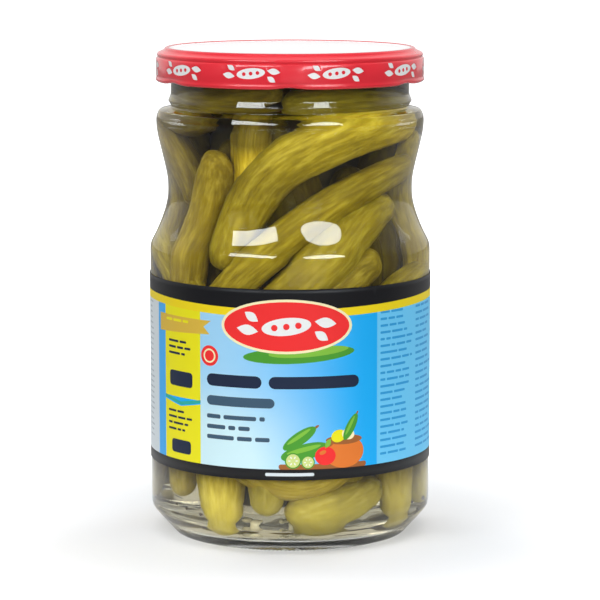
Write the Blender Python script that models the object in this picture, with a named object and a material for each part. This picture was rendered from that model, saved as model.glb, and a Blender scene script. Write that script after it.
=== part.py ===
"""A shut glass jar of whole pickled cucumbers: waisted jar, pressed twist-off cap, wrap-round label.

Lengths are in millimetres and angles in degrees until they reach Blender, which works in metres.
The jar stands on its bearing ring at z = 0 with its axis on +Z, and its front faces -Y.
An azimuth is measured from the front, growing towards +X.
"""

import math
import random

import bmesh
import bpy
from mathutils import Matrix, Vector

MM = 0.001

# Jar, outside
BODY_R = 44.3
RING_R = 36.4
RING_FLAT = 1.6
RING_ROUND = 1.0
HEEL_TOP_Z = 8.3
HEEL_ROUND = 4.0
SHOULDER_R = 42.1
SHOULDER_Z = 131.6
SHOULDER_ROUND = 2.8
SHOULDER_FLANK = 1.1
SHOULDER_FLANK_LEAN = 22.5
SHOULDER_TOP_ROUND = 1.2
NECK_R = 37.5
NECK_Z = 135.2
BEAD_R = 38.3
BEAD_Z = 137.1
BEAD_ROUND = 0.7
BEAD_TOP_Z = 139.25
FINISH_R = 39.0
FINISH_Z = 144.4
RIM_Z = 151.9
RIM_ROUND = 1.2

# How far the side leans inwards, in degrees, at each height from the label panel to the shoulder
SIDE_LEANS = (
    (90.3, 0.0),
    (91.6, 13.0),
    (92.9, 25.0),
    (93.9, 27.5),
    (94.9, 27.5),
    (96.0, 25.0),
    (97.5, 23.0),
    (99.5, 21.0),
    (101.5, 18.6),
    (103.5, 15.5),
    (105.5, 10.2),
    (107.5, 4.4),
    (109.3, 0.0),
    (110.5, -1.0),
    (112.5, -6.0),
    (114.5, -11.0),
    (117.0, -13.0),
    (123.0, -13.5),
    (126.0, -12.0),
    (129.0, -5.0),
    (131.6, 0.0),
)
SIDE_HEIGHTS = (90.3, 92.9, 95.4, 99.5, 103.5, 107.5, 111.5, 115.5, 125.0, 129.0)

# Jar, inside
WALL = 2.5
MOUTH_R = 35.2
INNER_HEEL_R = 9.4
FLOOR_Z = 4.4
FLOOR_DOME = 1.6
UNDER_DOME_Z = 2.2
JAR_SIDES = 36

# Label
LABEL_LOW_Z = 23.9
LABEL_HIGH_Z = 82.8
LABEL_GAP = 0.3
LABEL_THICK = 0.15

# Cap
CAP_TOP_Z = 153.8
PANEL_Z = 153.4
CROWN_R = 38.6
CROWN_ROUND = 1.0
STEP_R = 41.0
SKIRT_R = 42.1
SKIRT_TOP_Z = 150.4
CURL_Z = 143.9
CURL_ROUND = 0.8
CAP_SHEET = 0.6
CAP_UNDERSIDE_Z = 152.3
CAP_SIDES = 48
CAP_LUGS = 6
LUG_LIFT = 0.55
LUG_HALF_WIDTH = 5.5

# Pickles
PICKLE_SIDES = 7
PICKLE_STEPS = 5
PICKLE_CLEARANCE = 0.5
END_THINNING = 0.2
END_RING_ANGLE = 48
CORE_DEPTH = 10.5
CORE_LOW_Z = 9.0
CORE_HIGH_Z = 137.5
CORE_SIDES = 14
SEED = 7

# The pickles that show at the front. Each row gives the thickness, how far it sits behind the wall,
# and the azimuth and height of the centre of one rounded end, of the middle and of the other end.
FRONT_PICKLES = (
    ("shoulder_arch", 15.6, 0.0, (80, 132.6), (0, 121.6), (-31.5, 92.8)),
    ("second_arch", 11.8, 0.0, (76, 117.2), (8, 101.2), (-48, 66.8)),
    ("third_arch", 15.4, 0.0, (55, 103.8), (22, 91.2), (-28, 63)),
    ("right_low", 12.2, 1.6, (39, 87.6), (20, 79.0), (-6, 63.8)),
    ("right_foot", 12.0, 0.6, (86, 81.8), (58, 77.8), (24, 62.8)),
    ("left_upright", 13.6, 0.0, (-42, 119), (-52.5, 100.8), (-60, 65)),
    ("left_bright", 12.6, 5.0, (-23, 133), (-23, 119), (-28, 99)),
    ("left_shoulder", 12.0, 3.0, (-110, 129), (-86, 122), (-66, 109)),
    ("left_stub", 12.6, 0.5, (-90, 134.3), (-70, 133.8), (-51, 134.8)),
    ("left_behind", 12.0, 3.5, (-94, 121), (-86, 104), (-74, 86)),
    ("left_foot", 12.4, 0.3, (-112, 95.5), (-70, 87.4), (-46, 71.6)),
    ("right_upright", 12.4, 1.5, (86, 123.8), (92, 103.8), (82, 74.8)),
    ("neck_left", 11.4, 0.0, (-92, 140), (-54, 139), (-12, 141)),
    ("neck_right", 11.4, 0.0, (112, 132), (56, 137), (4, 138)),
    ("low_cross", 11.2, 0.4, (-28, 28.6), (3, 21.4), (28, 28.4)),
    ("low_left", 16.0, 0.0, (-34.5, 12.0), (-38, 40), (-35, 70)),
    ("low_small", 12.6, 0.8, (-11, 16.2), (-13, 38), (-14, 60)),
    ("low_middle", 13.6, 0.0, (6, 12.6), (22, 14.0), (38, 17.5)),
    ("low_right", 13.0, 2.0, (31, 25.5), (35, 45), (40, 70)),
    ("low_far_right", 14.0, 0.0, (59, 12.0), (60, 40), (66, 72)),
    ("low_far_left", 12.4, 0.6, (-60, 19.0), (-61, 42), (-64, 68)),
)

# The rest of the circle, which the front hides, is filled by rule.
BACK_FROM = 108
BACK_TO = 252
BACK_HIGH_COUNT = 7
BACK_LOW_COUNT = 9
BACK_THICKNESS = (11.6, 14.0)
SIDE_LOW_AZIMUTHS = (84, -100)


def arc(centre_r, centre_z, radius, start, end, steps):
    """Points (r, z) on an arc, from one angle to another above the outward direction."""
    points = []
    for i in range(steps + 1):
        angle = math.radians(start + (end - start) * i / steps)
        points.append((centre_r + radius * math.cos(angle), centre_z + radius * math.sin(angle)))
    return points


def ease(share):
    """0 to 1 along half a cosine wave."""
    return (1 - math.cos(math.pi * share)) / 2


def rounded_corner(before, corner, after, radius, steps):
    """The arc that rounds a corner between two straight stretches of a profile."""
    corner = Vector(corner)
    back = (Vector(before) - corner).normalized()
    ahead = (Vector(after) - corner).normalized()
    half = back.angle(ahead) / 2
    centre = corner + (back + ahead).normalized() * radius / math.sin(half)
    first = corner + back * radius / math.tan(half) - centre
    last = corner + ahead * radius / math.tan(half) - centre
    turn = first.angle_signed(last)
    points = []
    for i in range(steps + 1):
        spoke = Matrix.Rotation(-turn * i / steps, 2) @ first
        points.append(tuple(centre + spoke))
    return points


def lean_at(z):
    """The side's lean at a height, in degrees."""
    for (low_z, low), (high_z, high) in zip(SIDE_LEANS, SIDE_LEANS[1:]):
        if low_z <= z <= high_z:
            return low + (high - low) * (z - low_z) / (high_z - low_z)
    return 0.0


def side_radii():
    """The side's radius at every half millimetre, found by adding up its lean."""
    step = 0.5
    z = SIDE_LEANS[0][0]
    radius = BODY_R
    table = [(z, radius)]
    while z < SIDE_LEANS[-1][0] - 1e-6:
        radius -= step * math.tan(math.radians(lean_at(z + step / 2)))
        z += step
        table.append((z, radius))
    return table


SIDE_RADII = side_radii()


def side_radius(z):
    """The jar's outer radius anywhere from the label panel to the shoulder's edge."""
    if z <= SIDE_RADII[0][0]:
        return BODY_R
    for (low_z, low), (high_z, high) in zip(SIDE_RADII, SIDE_RADII[1:]):
        if z <= high_z:
            return low + (high - low) * (z - low_z) / (high_z - low_z)
    return SIDE_RADII[-1][1]


def shoulder_points(steps):
    """The shoulder's section: rounded below and above a short flat flank that leans inwards."""
    lean = SHOULDER_FLANK_LEAN
    points = arc(SHOULDER_R - SHOULDER_ROUND, SHOULDER_Z, SHOULDER_ROUND, 0, lean, steps)
    flank_r, flank_z = points[-1]
    cosine, sine = math.cos(math.radians(lean)), math.sin(math.radians(lean))
    top_r = flank_r - SHOULDER_FLANK * sine - SHOULDER_TOP_ROUND * cosine
    top_z = flank_z + SHOULDER_FLANK * cosine - SHOULDER_TOP_ROUND * sine
    return points + arc(top_r, top_z, SHOULDER_TOP_ROUND, lean, 60, steps)


def body_outer_points():
    """The jar's outside from its bearing ring to its rim, bottom to top."""
    heel = (BODY_R, HEEL_TOP_Z)
    ring_edge = (RING_R + RING_ROUND, 0.5 * RING_ROUND)
    points = arc(RING_R, RING_ROUND, RING_ROUND, -90, -45, 2)
    points += rounded_corner(ring_edge, heel, (BODY_R, SIDE_LEANS[0][0]), HEEL_ROUND, 3)
    points += [(side_radius(z), z) for z in SIDE_HEIGHTS]
    points += shoulder_points(1)
    points += [(NECK_R + 0.9, NECK_Z - 0.6), (NECK_R, NECK_Z + 0.3)]
    points += arc(BEAD_R - BEAD_ROUND, BEAD_Z, BEAD_ROUND, -40, 20, 2)
    points += [(NECK_R, BEAD_TOP_Z), (NECK_R, FINISH_Z - 0.8), (FINISH_R, FINISH_Z)]
    points.append((FINISH_R, RIM_Z - RIM_ROUND))
    points += arc(FINISH_R - RIM_ROUND, RIM_Z - RIM_ROUND, RIM_ROUND, 30, 90, 2)
    return points


def body_inner_radius(z):
    """The jar's inner radius at a height above its floor."""
    inner_body = BODY_R - WALL
    heel_z = FLOOR_Z + INNER_HEEL_R
    if z < heel_z:
        drop = min(heel_z - z, INNER_HEEL_R)
        return inner_body - INNER_HEEL_R + math.sqrt(INNER_HEEL_R**2 - drop**2)
    widest_z = SHOULDER_Z - 2.0
    if z < widest_z:
        return side_radius(z) - WALL
    widest = side_radius(widest_z) - WALL
    if z < NECK_Z:
        return widest + (MOUTH_R - widest) * ease((z - widest_z) / (NECK_Z - widest_z))
    return MOUTH_R


def jar_profile():
    """The whole section of the jar: under its base, up its outside and down its inside."""
    ring_inner_r = RING_R - RING_FLAT
    under = [(0.0, UNDER_DOME_Z), (ring_inner_r - 4.4, UNDER_DOME_Z - 0.5)]
    under += [(ring_inner_r - 1.0, 0.5), (ring_inner_r, 0.0)]
    inside_heights = [NECK_Z, NECK_Z - 2.1, NECK_Z - 4.2, *SIDE_HEIGHTS[-2::-1]]
    inside = [(MOUTH_R + 1.2, RIM_Z - 0.3), (MOUTH_R, RIM_Z - 2.0)]
    inside += [(body_inner_radius(z), z) for z in inside_heights]
    heel_centre_r = BODY_R - WALL - INNER_HEEL_R
    inside += arc(heel_centre_r, FLOOR_Z + INNER_HEEL_R, INNER_HEEL_R, 0, -90, 4)
    inside += [(heel_centre_r - 12, FLOOR_Z + FLOOR_DOME * 0.6), (0.0, FLOOR_Z + FLOOR_DOME)]
    return under + body_outer_points() + inside


def cap_profile():
    """The cap's section: over its top and down its skirt, round the curl and back up inside."""
    top = [(0.0, PANEL_Z), (CROWN_R - 2.6, PANEL_Z), (CROWN_R - 1.4, PANEL_Z - 0.2)]
    top += arc(CROWN_R, CAP_TOP_Z - CROWN_ROUND, CROWN_ROUND, 150, 30, 2)
    top += arc(STEP_R, CAP_TOP_Z - 2.3, 0.8, 80, -10, 2)
    top += [(SKIRT_R - 0.55, SKIRT_TOP_Z + 0.5), (SKIRT_R, SKIRT_TOP_Z - 0.2)]
    top += [(SKIRT_R, CURL_Z + 3.0)]
    curl_r = SKIRT_R + 0.15 - CURL_ROUND
    curl = arc(curl_r, CURL_Z, CURL_ROUND, 40, -140, 4)
    inner_r = SKIRT_R - CAP_SHEET
    inside = [(inner_r, CURL_Z + 1.1), (inner_r, CAP_UNDERSIDE_Z - 2.4)]
    inside += [(CROWN_R + 1.4, CAP_UNDERSIDE_Z - 0.3), (CROWN_R - 2.0, CAP_UNDERSIDE_Z)]
    inside.append((0.0, CAP_UNDERSIDE_Z))
    return top + curl + inside


def new_material(name, colour, roughness, metallic=0.0, transmission=0.0):
    material = bpy.data.materials.new(name)
    material.use_nodes = True
    shader = material.node_tree.nodes["Principled BSDF"]
    shader.inputs["Base Color"].default_value = (*colour, 1.0)
    shader.inputs["Roughness"].default_value = roughness
    shader.inputs["Metallic"].default_value = metallic
    shader.inputs["Transmission Weight"].default_value = transmission
    return material


def add_object(name, bm, material, smooth_under=35.0):
    bmesh.ops.recalc_face_normals(bm, faces=bm.faces)
    mesh = bpy.data.meshes.new(name)
    bm.to_mesh(mesh)
    bm.free()
    mesh.shade_smooth()
    mesh.set_sharp_from_angle(angle=math.radians(smooth_under))
    mesh.materials.append(material)
    obj = bpy.data.objects.new(name, mesh)
    bpy.context.scene.collection.objects.link(obj)
    return obj


def turned(profile, sides):
    """A bmesh turned about Z from a section that starts and ends on the axis."""
    bm = bmesh.new()
    verts = [bm.verts.new((radius * MM, 0.0, z * MM)) for radius, z in profile]
    for first, second in zip(verts, verts[1:]):
        bm.edges.new((first, second))
    bmesh.ops.spin(
        bm,
        geom=bm.verts[:] + bm.edges[:],
        cent=(0, 0, 0),
        axis=(0, 0, 1),
        angle=math.tau,
        steps=sides,
        use_merge=True,
    )
    bmesh.ops.remove_doubles(bm, verts=bm.verts, dist=1e-6)
    return bm


def make_jar(material):
    return add_object("glass_jar", turned(jar_profile(), JAR_SIDES), material)


def make_cap(material):
    """The cap, whose rolled lower edge is nipped up into lugs all round."""
    bm = turned(cap_profile(), CAP_SIDES)
    for vert in bm.verts:
        height = vert.co.z / MM
        if height > CURL_Z + 2:
            continue
        azimuth = math.degrees(math.atan2(vert.co.x, -vert.co.y))
        spacing = 360 / CAP_LUGS
        off_lug = (azimuth + spacing / 2) % spacing - spacing / 2
        vert.co.z += LUG_LIFT * MM * math.exp(-((off_lug / LUG_HALF_WIDTH) ** 2))
    return add_object("lid", bm, material)


def make_label(material):
    """The label, a thin band right round the jar."""
    inner_r = BODY_R + LABEL_GAP
    outer_r = inner_r + LABEL_THICK
    bm = bmesh.new()
    loop = [(inner_r, LABEL_LOW_Z), (outer_r, LABEL_LOW_Z), (outer_r, LABEL_HIGH_Z), (inner_r, LABEL_HIGH_Z)]
    verts = [bm.verts.new((radius * MM, 0.0, z * MM)) for radius, z in loop]
    for i, vert in enumerate(verts):
        bm.edges.new((vert, verts[(i + 1) % len(verts)]))
    bmesh.ops.spin(
        bm,
        geom=bm.verts[:] + bm.edges[:],
        cent=(0, 0, 0),
        axis=(0, 0, 1),
        angle=math.tau,
        steps=JAR_SIDES,
        use_merge=True,
    )
    return add_object("label", bm, material)


def resting_radius(z, radius):
    """How far from the axis the centre of a pickle may lie at a height, touching the jar's inside."""
    limits = []
    steps = 8
    for i in range(-steps, steps + 1):
        rise = radius * i / steps
        chord = math.sqrt(max(radius**2 - rise**2, 0.0))
        limits.append(body_inner_radius(max(z + rise, FLOOR_Z)) - chord)
    return min(limits) - PICKLE_CLEARANCE


def centre_line(pickle, steps):
    """Points down the middle of a pickle, on the curve through its two ends and its middle."""
    _, thickness, inset, start, middle, end = pickle
    points = []
    for i in range(steps + 1):
        t = i / steps
        weights = (2 * (t - 0.5) * (t - 1), 4 * t * (1 - t), 2 * t * (t - 0.5))
        azimuth, z = (
            sum(weight * place[axis] for weight, place in zip(weights, (start, middle, end)))
            for axis in (0, 1)
        )
        from_middle = abs(2 * i / steps - 1)
        half = thickness / 2 * (1 - END_THINNING * from_middle**3)
        distance = resting_radius(z, half) - inset
        angle = math.radians(azimuth)
        points.append(Vector((distance * math.sin(angle), -distance * math.cos(angle), z)))
    return points


def pickle_sections(pickle):
    """The centre and radius of each ring of a pickle from end to end, and the points of its two tips."""
    points = centre_line(pickle, PICKLE_STEPS)
    half = pickle[1] / 2
    end_half = half * (1 - END_THINNING)
    sections = []
    for i, point in enumerate(points):
        from_middle = abs(2 * i / PICKLE_STEPS - 1)
        sections.append((point, half * (1 - END_THINNING * from_middle**3)))
    rise = end_half * math.sin(math.radians(END_RING_ANGLE))
    end_ring = end_half * math.cos(math.radians(END_RING_ANGLE))
    before = (points[0] - points[1]).normalized()
    after = (points[-1] - points[-2]).normalized()
    sections.insert(0, (points[0] + before * rise, end_ring))
    sections.append((points[-1] + after * rise, end_ring))
    tips = (points[0] + before * end_half, points[-1] + after * end_half)
    return sections, tips


def section_rings(sections):
    """A ring of points round each section, all turned alike along the pickle."""
    rings = []
    side = None
    for i, (centre, radius) in enumerate(sections):
        ahead = sections[min(i + 1, len(sections) - 1)][0]
        behind = sections[max(i - 1, 0)][0]
        tangent = (ahead - behind).normalized()
        if side is None:
            side = tangent.orthogonal()
        side = (side - tangent * side.dot(tangent)).normalized()
        other = tangent.cross(side)
        ring = []
        for k in range(PICKLE_SIDES):
            turn = math.tau * k / PICKLE_SIDES
            ring.append(centre + (side * math.cos(turn) + other * math.sin(turn)) * radius)
        rings.append(ring)
    return rings


def pickle_bmesh(pickle):
    sections, tip_points = pickle_sections(pickle)
    bm = bmesh.new()
    rows = [[bm.verts.new(point * MM) for point in ring] for ring in section_rings(sections)]
    tips = [bm.verts.new(point * MM) for point in tip_points]
    for k in range(PICKLE_SIDES):
        following = (k + 1) % PICKLE_SIDES
        bm.faces.new((tips[0], rows[0][k], rows[0][following]))
        bm.faces.new((tips[1], rows[-1][following], rows[-1][k]))
        for low, high in zip(rows, rows[1:]):
            bm.faces.new((low[k], high[k], high[following], low[following]))
    return bm


def back_pickles():
    """Pickles for the part of the circle that the front hides: leaning ones above, upright ones below."""
    draw = random.Random(SEED)
    rows = []
    span = BACK_TO - BACK_FROM
    for i in range(BACK_HIGH_COUNT):
        azimuth = BACK_FROM + span * (i + 0.5) / BACK_HIGH_COUNT + draw.uniform(-3, 3)
        lean = draw.uniform(12, 34) * (1 if i % 3 else -1)
        thickness = draw.uniform(*BACK_THICKNESS)
        top = draw.uniform(118, 130)
        rows.append(
            (
                f"back_high_{i}",
                thickness,
                draw.uniform(0.0, 1.2),
                (azimuth + lean, top),
                (azimuth + draw.uniform(-6, 6), top - 25),
                (azimuth - lean, top - 56),
            )
        )
    for i in range(3):
        azimuth = BACK_FROM + span * (i + 0.5) / 3
        height = draw.uniform(134.5, 138.0)
        start, end = (azimuth - 26, height), (azimuth + 24, height - 1)
        rows.append((f"back_neck_{i}", 11.4, 0.0, start, (azimuth, height + 2), end))
    for i in range(BACK_LOW_COUNT):
        azimuth = BACK_FROM + span * (i + 0.5) / BACK_LOW_COUNT
        lean = draw.uniform(-8, 8)
        rows.append(
            (
                f"back_low_{i}",
                draw.uniform(*BACK_THICKNESS),
                draw.uniform(0.0, 0.8),
                (azimuth, draw.uniform(12.5, 19.0)),
                (azimuth + lean, 38),
                (azimuth + 2 * lean, 62),
            )
        )
    for azimuth in SIDE_LOW_AZIMUTHS:
        rows.append((f"side_low_{azimuth}", 12.8, 0.3, (azimuth, 13.5), (azimuth + 2, 38), (azimuth - 3, 64)))
    return rows


def core_bmesh():
    """The middle of the heap, which follows the jar's inside at a pickle's depth."""
    draw = random.Random(SEED + 1)
    bm = bmesh.new()
    levels = 7
    rows = []
    for i in range(levels + 1):
        z = CORE_LOW_Z + (CORE_HIGH_Z - CORE_LOW_Z) * i / levels
        inward = CORE_DEPTH + (4.0 if i == 0 else 0.0)
        row = []
        for k in range(CORE_SIDES):
            turn = math.tau * k / CORE_SIDES
            radius = body_inner_radius(max(z, 14.0)) - inward - draw.uniform(0.0, 1.2)
            row.append(bm.verts.new(Vector((radius * math.sin(turn), -radius * math.cos(turn), z)) * MM))
        rows.append(row)
    for low, high in zip(rows, rows[1:]):
        for k in range(CORE_SIDES):
            following = (k + 1) % CORE_SIDES
            bm.faces.new((low[k], low[following], high[following], high[k]))
    bm.faces.new(rows[0][::-1])
    bm.faces.new(rows[-1])
    return bm


def face_islands(bm):
    """Groups of faces that are joined through their edges."""
    left = set(bm.faces)
    islands = []
    while left:
        island = []
        reached = [left.pop()]
        while reached:
            face = reached.pop()
            island.append(face)
            for edge in face.edges:
                for neighbour in edge.link_faces:
                    if neighbour in left:
                        left.remove(neighbour)
                        reached.append(neighbour)
        islands.append(island)
    return islands


def keep_outer_shell(mesh):
    """Drops sealed hollows and loose scraps that the union leaves."""
    bm = bmesh.new()
    bm.from_mesh(mesh)
    islands = face_islands(bm)
    islands.sort(key=len)
    for island in islands[:-1]:
        bmesh.ops.delete(bm, geom=island, context="FACES")
    bm.to_mesh(mesh)
    bm.free()


def make_pickles(material):
    """The heap as one solid: the core with every pickle that shows fused on."""
    heap = add_object("pickles", core_bmesh(), material)
    members = bpy.data.collections.new("pickle_members")
    bpy.context.scene.collection.children.link(members)
    for pickle in (*FRONT_PICKLES, *back_pickles()):
        member = add_object(f"member_{pickle[0]}", pickle_bmesh(pickle), material)
        bpy.context.scene.collection.objects.unlink(member)
        members.objects.link(member)
    union = heap.modifiers.new("union", "BOOLEAN")
    union.operation = "UNION"
    union.operand_type = "COLLECTION"
    union.collection = members
    union.solver = "EXACT"
    bpy.context.view_layer.update()
    graph = bpy.context.evaluated_depsgraph_get()
    joined = bpy.data.meshes.new_from_object(heap.evaluated_get(graph))
    heap.modifiers.remove(union)
    keep_outer_shell(joined)
    heap.data = joined
    for member in list(members.objects):
        bpy.data.objects.remove(member)
    bpy.data.collections.remove(members)
    return heap


def main():
    for obj in list(bpy.data.objects):
        bpy.data.objects.remove(obj)
    glass = new_material("clear_glass", (0.92, 0.96, 0.95), 0.03, transmission=1.0)
    tin = new_material("red_lacquered_tin", (0.75, 0.04, 0.07), 0.3)
    paper = new_material("printed_paper", (0.08, 0.45, 0.85), 0.45)
    flesh = new_material("pickled_cucumber", (0.38, 0.33, 0.06), 0.4)
    make_jar(glass)
    make_cap(tin)
    make_label(paper)
    make_pickles(flesh)


main()
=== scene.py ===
"""The looks of a shut jar of pickled cucumbers: glass, brine, pickles, printed cap and label.

Lengths are in millimetres and angles in degrees until they reach Blender, which works in metres.
An azimuth is measured from the jar's front, which faces -Y, and grows towards +X.
On the cap and the label, u is the length round the jar from the front and v is the height.
"""

import math
import random

import bmesh
import bpy
from mathutils import Matrix, Vector, noise
from mathutils.geometry import delaunay_2d_cdt


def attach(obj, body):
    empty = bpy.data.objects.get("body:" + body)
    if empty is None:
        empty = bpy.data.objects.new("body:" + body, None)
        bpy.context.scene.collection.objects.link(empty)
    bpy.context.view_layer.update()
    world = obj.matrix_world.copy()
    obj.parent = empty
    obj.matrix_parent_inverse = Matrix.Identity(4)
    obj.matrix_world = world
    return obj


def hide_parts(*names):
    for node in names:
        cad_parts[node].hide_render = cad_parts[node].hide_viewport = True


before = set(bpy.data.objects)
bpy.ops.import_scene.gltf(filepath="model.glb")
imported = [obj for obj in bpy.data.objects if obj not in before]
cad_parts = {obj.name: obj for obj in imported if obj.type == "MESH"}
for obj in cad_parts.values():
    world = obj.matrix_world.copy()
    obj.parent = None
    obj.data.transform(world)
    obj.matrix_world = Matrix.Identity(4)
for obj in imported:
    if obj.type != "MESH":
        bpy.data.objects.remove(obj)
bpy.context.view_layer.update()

MM = 0.001

# The photograph's camera
CAMERA_DISTANCE = 933.1
CAMERA_HEIGHT = 208.2
CAMERA_SIDE = 3.15
CAMERA_PITCH = 8.23
CAMERA_LENS = 177.8

# Light: how strong the surroundings are for each kind of ray, and the floor's size, paint and glow.
# What is mirrored changes from front to back. A REACH is a pair of distances in metres, and the TURN a
# pair of values of the direction's Y.
WORLD_LIGHT = 0.30
WORLD_BEHIND = 0.85
WORLD_MIRRORED_FRONT = 0.12
WORLD_MIRRORED_BACK = 0.85
WORLD_MIRRORED_TURN = (-0.1, 0.5)
FLOOR_R = 12000
FLOOR_SIDES = 64
FLOOR_SEEN = 0.8
FLOOR_MIRRORED_FRONT = 0.03
FLOOR_MIRRORED_BACK = 0.28
FLOOR_MIRRORED_REACH = (-0.05, 0.15)
FLOOR_BOUNCE_NEAR = 0.85
FLOOR_BOUNCE_FAR = 0.12
FLOOR_BOUNCE_REACH = (0.09, 0.19)
FLOOR_GLOW_NEAR = 0.06
FLOOR_GLOW_FAR = 1.0
FLOOR_GLOW_REACH = (0.06, 0.24)
FLOOR_THROUGH_GLASS = 0.2

# Lights: azimuth, elevation, distance, width, height and power. The softboxes are only mirrored,
# and the fills give light without being mirrored.
LIGHT_TARGET_Z = 80
SOFTBOX_COLOUR = (0.92, 0.97, 1.0)
SOFTBOXES = {
    "softbox_left": (-34, 36, 1100, 700, 180, 5.4),
    "softbox_right": (30, 33, 1100, 640, 300, 6.4, "ELLIPSE"),
}
FILLS = {
    "fill_front": (14, 6, 1500, 900, 700, 12.0),
    "fill_left": (-48, 24, 1500, 700, 500, 5.0),
    "fill_top": (0, 84, 1300, 900, 900, 11.0),
    "fill_back_left": (135, 25, 1300, 700, 400, 6.0),
    "fill_back_right": (-140, 25, 1300, 700, 400, 6.0),
}

# Jar, outside. The side's leans are (height, degrees inwards) from the label panel to the shoulder.
BODY_R = 44.3
RING_R = 36.4
RING_FLAT = 1.6
RING_ROUND = 1.0
HEEL_TOP_Z = 8.3
HEEL_ROUND = 4.0
SIDE_LEANS = (
    (90.3, 0.0),
    (91.6, 13.0),
    (92.9, 25.0),
    (93.9, 27.5),
    (94.9, 27.5),
    (96.0, 25.0),
    (97.5, 23.0),
    (99.5, 21.0),
    (101.5, 18.6),
    (103.5, 15.5),
    (105.5, 10.2),
    (107.5, 4.4),
    (109.3, 0.0),
    (110.5, -1.0),
    (112.5, -6.0),
    (114.5, -11.0),
    (117.0, -13.0),
    (123.0, -13.5),
    (126.0, -12.0),
    (129.0, -5.0),
    (131.6, 0.0),
)
SHOULDER_R = 42.1
SHOULDER_Z = 131.6
SHOULDER_ROUND = 2.8
SHOULDER_FLANK = 1.1
SHOULDER_FLANK_LEAN = 22.5
SHOULDER_TOP_ROUND = 1.2
NECK_R = 37.5
NECK_Z = 135.2
BEAD_R = 38.3
BEAD_Z = 137.1
BEAD_ROUND = 0.7
BEAD_TOP_Z = 139.25
FINISH_R = 39.0
FINISH_Z = 144.4
RIM_Z = 151.9
RIM_ROUND = 1.2
JAR_SIDES = 360
KNURL_DEPTH = 0.35
GLASS_COLOUR = (0.97, 0.99, 0.985)
GLASS_IOR = 1.5
WET_GLASS_MIRROR = 0.05

# Jar, inside
WALL = 2.5
MOUTH_R = 35.2
INNER_HEEL_R = 9.4
FLOOR_Z = 4.4
FLOOR_DOME = 1.6
UNDER_DOME_Z = 2.2
WALL_WAVE = 0.12
BRINE_LEVEL_Z = 146.0
BRINE_OVERLAP = 0.15
BRINE_SIDES = 144
BRINE_IOR = 1.34
BRINE_TINGE = (0.80, 0.75, 0.60)
BRINE_DENSITY = 36.0

# Cap
CAP_TOP_Z = 153.8
PANEL_Z = 153.4
CROWN_R = 38.6
CROWN_ROUND = 1.0
STEP_R = 41.0
SKIRT_R = 42.1
SKIRT_TOP_Z = 150.4
PRINT_LOW_Z = 145.3
CURL_Z = 143.9
CURL_ROUND = 0.8
CAP_SHEET = 0.6
CAP_UNDERSIDE_Z = 152.3
CAP_SIDES = 192
CAP_LUGS = 6
LUG_LIFT = 0.55
LUG_HALF_WIDTH = 5.5
CAP_MOTIFS = 10
CAP_MOTIF_TURN = 0.55

# Label
LABEL_LOW_Z = 23.9
LABEL_HIGH_Z = 82.8
LABEL_R = 44.42
LABEL_THICK = 0.12
LABEL_OVERLAP = 7.0
PRINT_LIFT = 0.8
GRAIN_DEPTH = 0.00002
LABEL_COLUMNS = 180
LABEL_ROWS = 16

# Pickles
PICKLE_CLEARANCE = 0.5
END_THINNING = 0.2
CORE_DEPTH = 20.0
CORE_LOW_Z = 12.0
CORE_HIGH_Z = 132.8
SEED = 7

# The pickles that show at the front. Each row gives the thickness, how far it sits behind the wall,
# and the azimuth and height of the centre of one rounded end, of the middle and of the other end.
FRONT_PICKLES = (
    ("shoulder_arch", 15.6, 0.0, (80, 132.6), (0, 121.6), (-31.5, 92.8)),
    ("second_arch", 11.8, 0.0, (76, 117.2), (8, 101.2), (-48, 66.8)),
    ("third_arch", 15.4, 0.0, (55, 103.8), (22, 91.2), (-28, 63)),
    ("right_low", 12.2, 1.6, (39, 87.6), (20, 79.0), (-6, 63.8)),
    ("right_foot", 12.0, 0.6, (86, 81.8), (58, 77.8), (24, 62.8)),
    ("left_upright", 13.6, 0.0, (-42, 119), (-52.5, 100.8), (-60, 65)),
    ("left_bright", 12.6, 5.0, (-23, 133), (-23, 119), (-28, 99)),
    ("left_shoulder", 12.0, 3.0, (-110, 129), (-86, 122), (-66, 109)),
    ("left_stub", 12.6, 0.5, (-90, 134.3), (-70, 133.8), (-51, 134.8)),
    ("left_behind", 12.0, 3.5, (-94, 121), (-86, 104), (-74, 86)),
    ("left_foot", 12.4, 0.3, (-112, 95.5), (-70, 87.4), (-46, 71.6)),
    ("right_upright", 12.4, 1.5, (86, 123.8), (92, 103.8), (82, 74.8)),
    ("neck_left", 11.4, 0.0, (-92, 140), (-54, 139), (-12, 141)),
    ("neck_right", 11.4, 0.0, (112, 132), (56, 137), (4, 138)),
    ("low_cross", 11.2, 0.4, (-28, 28.6), (3, 21.4), (28, 28.4)),
    ("low_left", 16.0, 0.0, (-34.5, 12.0), (-38, 40), (-35, 70)),
    ("low_small", 12.6, 0.8, (-11, 16.2), (-13, 38), (-14, 60)),
    ("low_middle", 13.6, 0.0, (6, 12.6), (22, 14.0), (38, 17.5)),
    ("low_right", 13.0, 2.0, (31, 25.5), (35, 45), (40, 70)),
    ("low_far_right", 14.0, 0.0, (59, 12.0), (60, 40), (66, 72)),
    ("low_far_left", 12.4, 0.6, (-60, 19.0), (-61, 42), (-64, 68)),
)
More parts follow.
